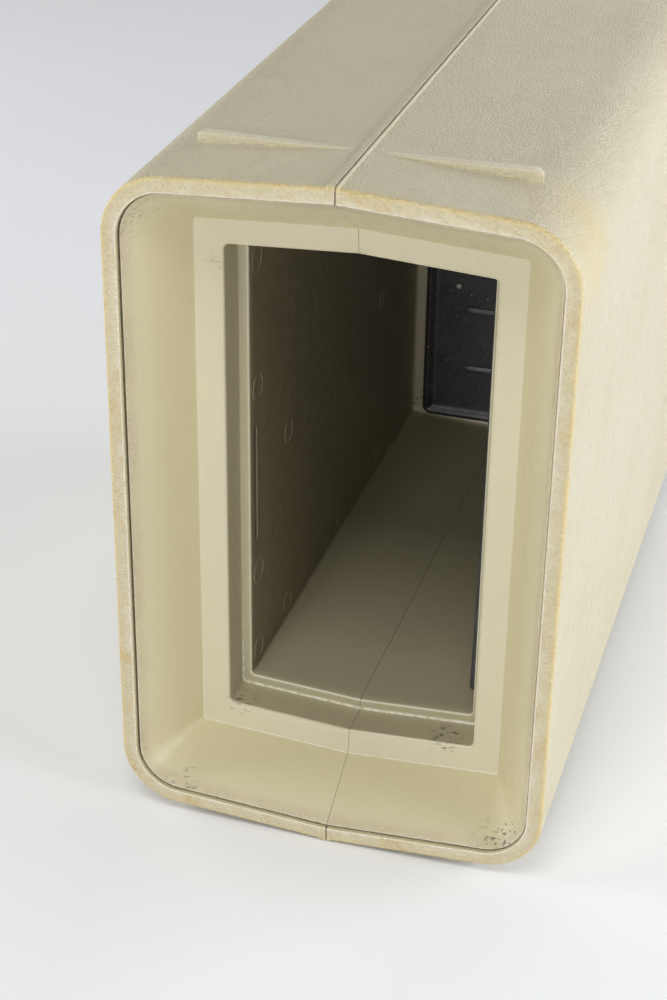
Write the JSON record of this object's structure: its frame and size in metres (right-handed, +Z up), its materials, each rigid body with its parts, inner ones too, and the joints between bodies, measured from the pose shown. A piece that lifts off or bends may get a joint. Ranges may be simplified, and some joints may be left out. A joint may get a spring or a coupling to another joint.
{
  "type": "fire-resistant safe body",
  "caption": "Upright fire-resistant safe body without its door: thick double walls, flared doorway with stepped ledges, deep cavity with a black rear panel.",
  "frame": {"origin": "middle of the base, on the surface that the body stands on", "axes": "+X to the right seen from the doorway, +Y from the doorway to the back, +Z up"},
  "size_m": [0.31, 0.61, 0.498],
  "materials": {
    "shell": "fine pebbled moulding, beige",
    "liner": "smooth satin moulding, beige",
    "filling": "cast cement",
    "seal": "matt strip",
    "steel": "zinc plated",
    "black_metal": "black coat, worn at the end",
    "black_plastic": "fine grained moulding, black",
    "pale_plastic": "smooth"
  },
  "bodies": {
    "root": {"outer_shell_left": "shell", "outer_shell_right": "shell", "liner_left": "liner", "liner_right": "liner", "insulation_left": "filling", "insulation_right": "filling", "seam_seal": "seal", "seam_dowels": "steel", "front_strap_left": "steel", "front_strap_right": "steel", "rear_strap_left": "steel", "rear_strap_right": "steel", "spacer_posts_left": "liner", "spacer_posts_right": "liner", "bolt_box": "black_metal", "bolt_box_rivets": "steel", "strike_bar": "black_metal", "strike_bar_screws": "steel", "strike_nut_plate": "steel", "rear_panel": "black_plastic", "rear_panel_rivets": "pale_plastic"}
  },
  "joints": []
}
